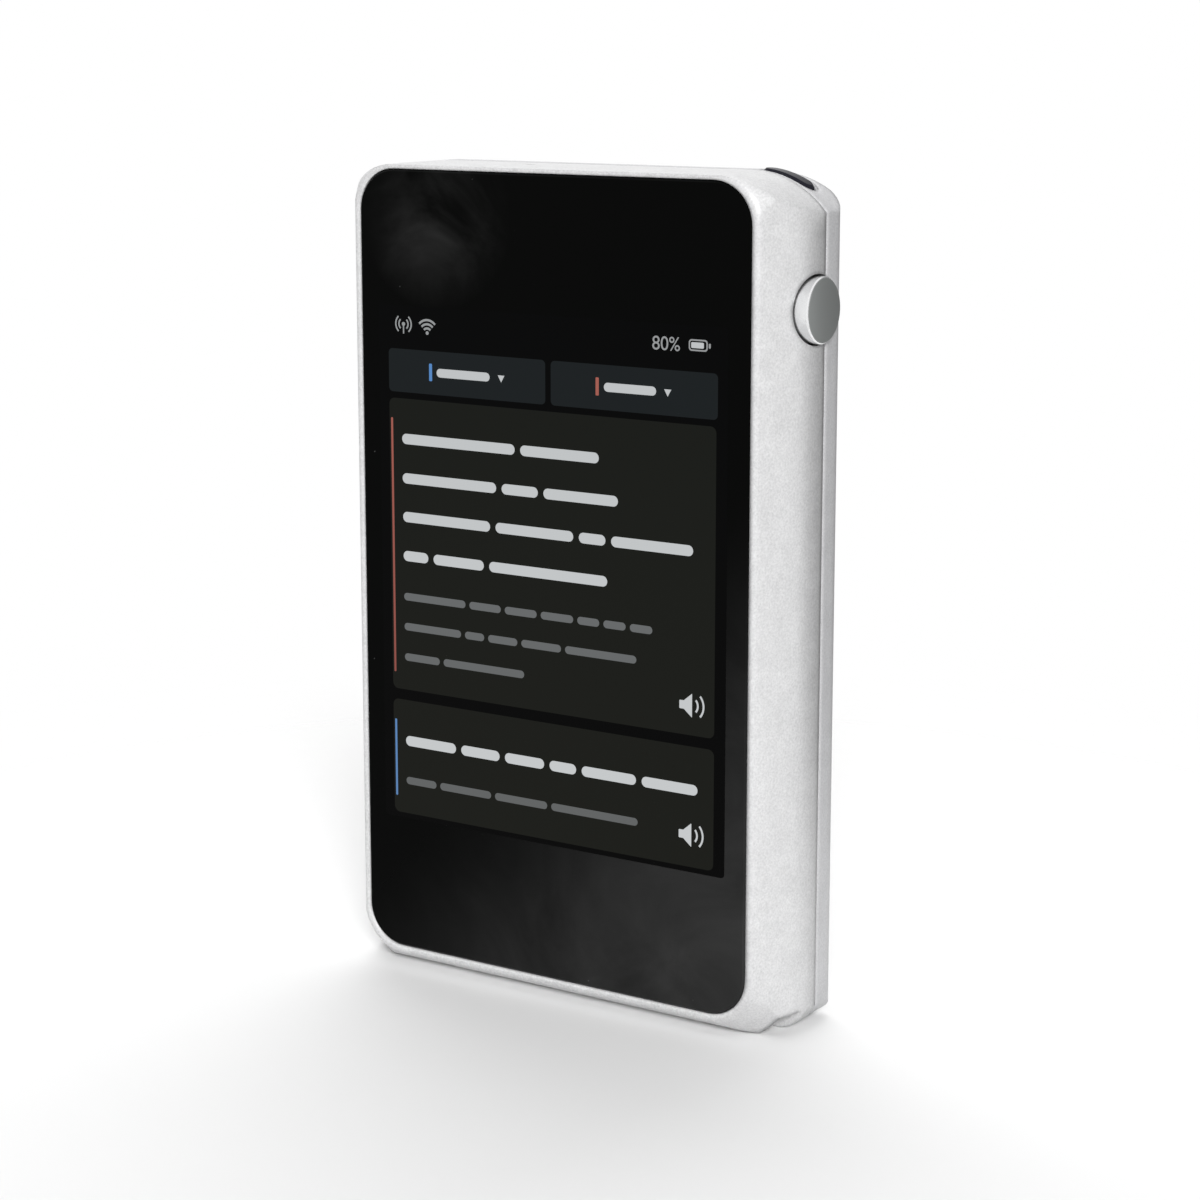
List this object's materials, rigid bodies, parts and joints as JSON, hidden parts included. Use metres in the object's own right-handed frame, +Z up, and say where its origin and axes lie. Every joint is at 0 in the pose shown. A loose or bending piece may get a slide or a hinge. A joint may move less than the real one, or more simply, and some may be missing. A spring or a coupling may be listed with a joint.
{
  "type": "handheld translator",
  "caption": "Handheld voice translator: tall black touch glass in a flared silver frame, round metal talk button on the side, corner power key, cord eyelet, rear camera and speaker grille.",
  "frame": {"origin": "middle of the flat foot at the bottom end, halfway through the device's depth", "axes": "+Z up along the device, +X towards the round side button, the screen faces -Y and the camera faces +Y"},
  "size_m": [0.0569, 0.014, 0.0908],
  "materials": {
    "silver_frame": "satin",
    "rear_shell": "satin",
    "screen_glass": "gloss",
    "adhesive": "matte",
    "screen_panel": "gloss",
    "pressed_steel": "satin",
    "chassis_metal": "matte",
    "screw_steel": "satin",
    "circuit_board": "satin",
    "cell_foil": "satin",
    "flat_cable": "satin",
    "microphone_can": "satin",
    "soft_rubber": "matte",
    "speaker_body": "matte",
    "dark_mesh": "matte",
    "button_metal": "satin",
    "switch_body": "matte",
    "key_black": "gloss",
    "tray_metal": "satin",
    "camera_body": "matte",
    "camera_glass": "gloss",
    "bezel_metal": "satin",
    "flash_diffuser": "satin",
    "motor_can": "satin",
    "antenna_foil": "satin"
  },
  "bodies": {
    "housing": {"front_housing": "silver_frame", "back_cover": "rear_shell", "cover_glass": "screen_glass", "glass_tape": "adhesive", "battery_tape": "adhesive", "display_panel": "screen_panel", "display_backplate": "pressed_steel", "shield_can_left": "pressed_steel", "shield_can_right": "pressed_steel", "switch_bracket": "pressed_steel", "sim_socket": "pressed_steel", "usb_shell": "pressed_steel", "lanyard_bar": "pressed_steel", "chassis": "chassis_metal", "chassis_screws": "screw_steel", "board_screws": "screw_steel", "main_board": "circuit_board", "sub_board": "circuit_board", "battery": "cell_foil", "ribbon_cable": "flat_cable", "microphones": "microphone_can", "microphone_boots": "soft_rubber", "speaker_seal": "soft_rubber", "loudspeaker": "speaker_body", "usb_tongue": "speaker_body", "speaker_mesh": "dark_mesh", "side_switch": "switch_body", "power_switch": "switch_body", "camera_module": "camera_body", "camera_window": "camera_glass", "camera_bezel": "bezel_metal", "flash_lens": "flash_diffuser", "vibration_motor": "motor_can", "antenna": "antenna_foil"},
    "talk_button": {"side_button": "button_metal"},
    "corner_key": {"power_key": "key_black"},
    "card_tray": {"sim_tray": "tray_metal"}
  },
  "joints": [
    {"name": "side_button_press", "type": "slide", "parent": "housing", "child": "talk_button", "axis": [-1, 0, 0], "range_m": [0, 0.0005], "stiffness_N_per_m": 2000, "springref_m": -0.0003},
    {"name": "power_key_press", "type": "slide", "parent": "housing", "child": "corner_key", "axis": [0, 0, -1], "range_m": [0, 0.0004], "stiffness_N_per_m": 2000, "springref_m": -0.0003},
    {"name": "sim_tray_slide", "type": "slide", "parent": "housing", "child": "card_tray", "axis": [-1, 0, 0], "range_m": [0, 0.022]}
  ]
}
